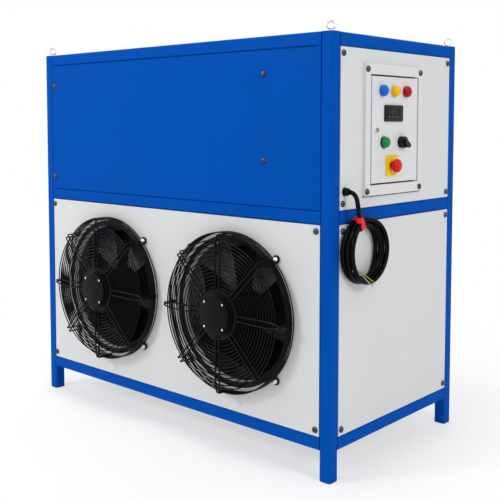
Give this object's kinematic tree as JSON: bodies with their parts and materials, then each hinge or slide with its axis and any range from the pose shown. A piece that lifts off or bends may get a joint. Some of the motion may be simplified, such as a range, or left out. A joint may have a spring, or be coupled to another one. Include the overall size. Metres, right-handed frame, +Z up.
{
  "type": "air-cooled water chiller",
  "caption": "Air-cooled water chiller in a blue square-tube frame with white and blue panels, axial fans behind round wire guards, a side control door and a coiled supply cable.",
  "frame": {"origin": "on the floor, under the middle of the machine without its cable", "axes": "+X to the viewer's right along the front, +Y from front to back, +Z up"},
  "size_m": [1.3835, 0.784, 1.281],
  "materials": {
    "blue_frame": "powder coat, satin",
    "blue_panel": "powder coat, satin",
    "white_panel": "powder coat, light grey white",
    "base_sheet": "galvanised sheet",
    "condenser": "fin block in galvanised casing",
    "guard_black": "black coated wire",
    "motor_black": "black coated casting",
    "blade_black": "black coated steel",
    "control_white": "powder coat",
    "box_steel": "powder coat",
    "lamp_blue": "translucent cap",
    "lamp_yellow": "translucent cap",
    "lamp_red": "translucent cap",
    "controller_black": "moulded",
    "bezel_black": "moulded",
    "button_green": "moulded",
    "selector_black": "moulded",
    "stop_yellow": "moulded",
    "stop_red": "moulded",
    "lock_steel": "nickel plated",
    "zinc": "zinc plated",
    "socket_steel": "zinc plated",
    "gland_black": "moulded nylon",
    "cable_black": "glossy sheath",
    "tie_red": "tape",
    "core_wire": "insulated cores"
  },
  "bodies": {
    "cabinet": {"post_front_left": "blue_frame", "post_front_right": "blue_frame", "post_rear_left": "blue_frame", "post_rear_right": "blue_frame", "top_rails": "blue_frame", "middle_rails": "blue_frame", "bottom_rails": "blue_frame", "front_upper_panel": "blue_panel", "rear_upper_panel": "blue_panel", "fan_panel": "white_panel", "rear_lower_panel": "white_panel", "left_upper_panel": "white_panel", "left_lower_panel": "white_panel", "right_upper_panel": "white_panel", "right_lower_panel": "white_panel", "top_panel": "white_panel", "base_panel": "base_sheet", "condenser_coil": "condenser", "fan_guard_left": "guard_black", "fan_guard_right": "guard_black", "fan_motor_left": "motor_black", "fan_motor_right": "motor_black", "control_frame": "control_white", "control_box": "box_steel", "lifting_eyes": "zinc", "water_sockets": "socket_steel", "cable_gland": "gland_black", "cable_lead": "cable_black", "cable_coil": "cable_black", "cable_tie": "tie_red", "cable_cores": "core_wire"},
    "left_impeller": {"fan_impeller_left": "blade_black"},
    "right_impeller": {"fan_impeller_right": "blade_black"},
    "door": {"control_door": "control_white", "lamp_blue": "lamp_blue", "lamp_yellow": "lamp_yellow", "lamp_red": "lamp_red", "temperature_controller": "controller_black", "switch_bezels": "bezel_black", "emergency_stop_plate": "stop_yellow", "door_lock": "lock_steel"},
    "start_cap": {"start_button": "button_green"},
    "selector_knob": {"selector_switch": "selector_black"},
    "stop_head": {"emergency_stop_button": "stop_red"}
  },
  "joints": [
    {"name": "left_fan_spin", "type": "hinge", "parent": "cabinet", "child": "left_impeller", "pos_m": [-0.315, -0.277, 0.432], "axis": [0, -1, 0], "continuous": true},
    {"name": "right_fan_spin", "type": "hinge", "parent": "cabinet", "child": "right_impeller", "pos_m": [0.263, -0.277, 0.432], "axis": [0, -1, 0], "continuous": true},
    {"name": "door_swing", "type": "hinge", "parent": "cabinet", "child": "door", "pos_m": [0.64, 0.11, 0.982], "axis": [0, 0, 1], "range_deg": [0, 110]},
    {"name": "start_press", "type": "slide", "parent": "door", "child": "start_cap", "axis": [-1, 0, 0], "range_m": [0, 0.004], "stiffness_N_per_m": 400},
    {"name": "selector_turn", "type": "hinge", "parent": "door", "child": "selector_knob", "pos_m": [0.644, 0.022, 0.945], "axis": [1, 0, 0], "range_deg": [0, 90]},
    {"name": "stop_press", "type": "slide", "parent": "door", "child": "stop_head", "axis": [-1, 0, 0], "range_m": [0, 0.005]}
  ]
}
